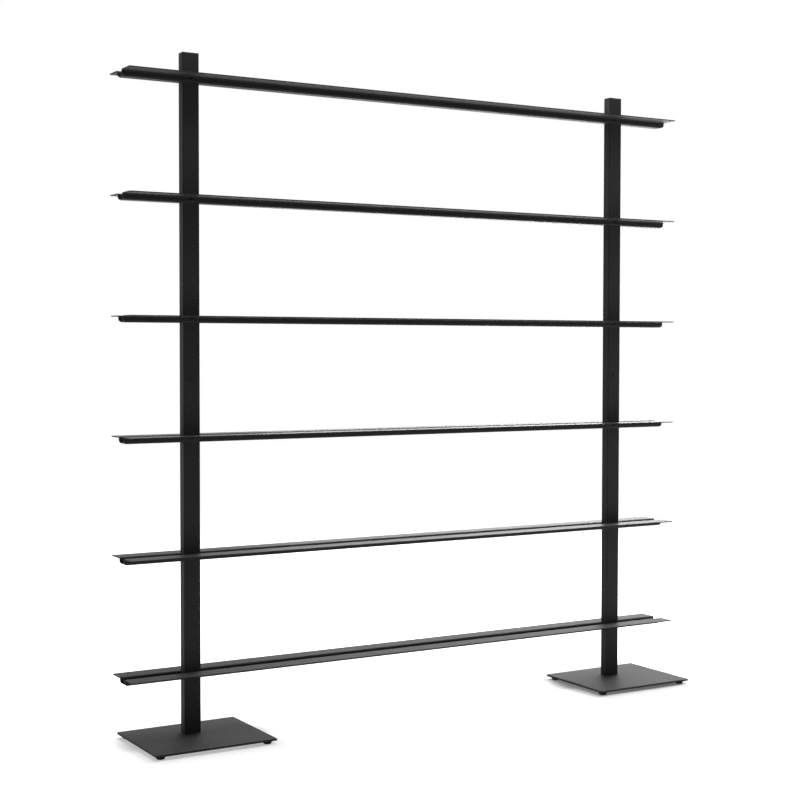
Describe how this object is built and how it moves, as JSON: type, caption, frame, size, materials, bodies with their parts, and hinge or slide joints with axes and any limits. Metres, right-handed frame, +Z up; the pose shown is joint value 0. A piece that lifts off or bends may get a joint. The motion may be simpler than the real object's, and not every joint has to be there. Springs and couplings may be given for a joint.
{
  "type": "spine bookshelf",
  "caption": "Tall open bookshelf of black coated steel: slim posts on flat base plates carry long folded sheet shelves, with room for books in front of and behind the posts.",
  "frame": {"origin": "on the floor, midway between the posts and under the middle of the base plates", "axes": "+Z up along the posts, +X along the shelves to the right, the front faces -Y"},
  "size_m": [1.925, 0.296, 1.94],
  "materials": {
    "coated_steel": "fine matt black powder coat",
    "black_steel": "satin black oxide",
    "plain_steel": "zinc plated",
    "black_plastic": "moulded, fine grain",
    "black_rubber": "matt"
  },
  "bodies": {
    "root": {"left_post": "coated_steel", "left_post_cap": "black_plastic", "left_post_block": "plain_steel", "left_base_plate": "coated_steel", "left_base_screws": "plain_steel", "left_foot_front_outer": "black_rubber", "left_foot_front_inner": "black_rubber", "left_foot_back_outer": "black_rubber", "left_foot_back_inner": "black_rubber", "left_foot_washers": "plain_steel", "left_foot_screws": "plain_steel", "right_post": "coated_steel", "right_post_cap": "black_plastic", "right_post_block": "plain_steel", "right_base_plate": "coated_steel", "right_base_screws": "plain_steel", "right_foot_front_outer": "black_rubber", "right_foot_front_inner": "black_rubber", "right_foot_back_outer": "black_rubber", "right_foot_back_inner": "black_rubber", "right_foot_washers": "plain_steel", "right_foot_screws": "plain_steel", "shelf_1": "coated_steel", "shelf_1_screws": "black_steel", "shelf_1_nuts": "plain_steel", "shelf_2": "coated_steel", "shelf_2_screws": "black_steel", "shelf_2_nuts": "plain_steel", "shelf_3": "coated_steel", "shelf_3_screws": "black_steel", "shelf_3_nuts": "plain_steel", "shelf_4": "coated_steel", "shelf_4_screws": "black_steel", "shelf_4_nuts": "plain_steel", "shelf_5": "coated_steel", "shelf_5_screws": "black_steel", "shelf_5_nuts": "plain_steel", "shelf_6": "coated_steel", "shelf_6_screws": "black_steel", "shelf_6_nuts": "plain_steel", "tie_screws": "black_steel", "tie_nuts": "plain_steel"}
  },
  "joints": []
}
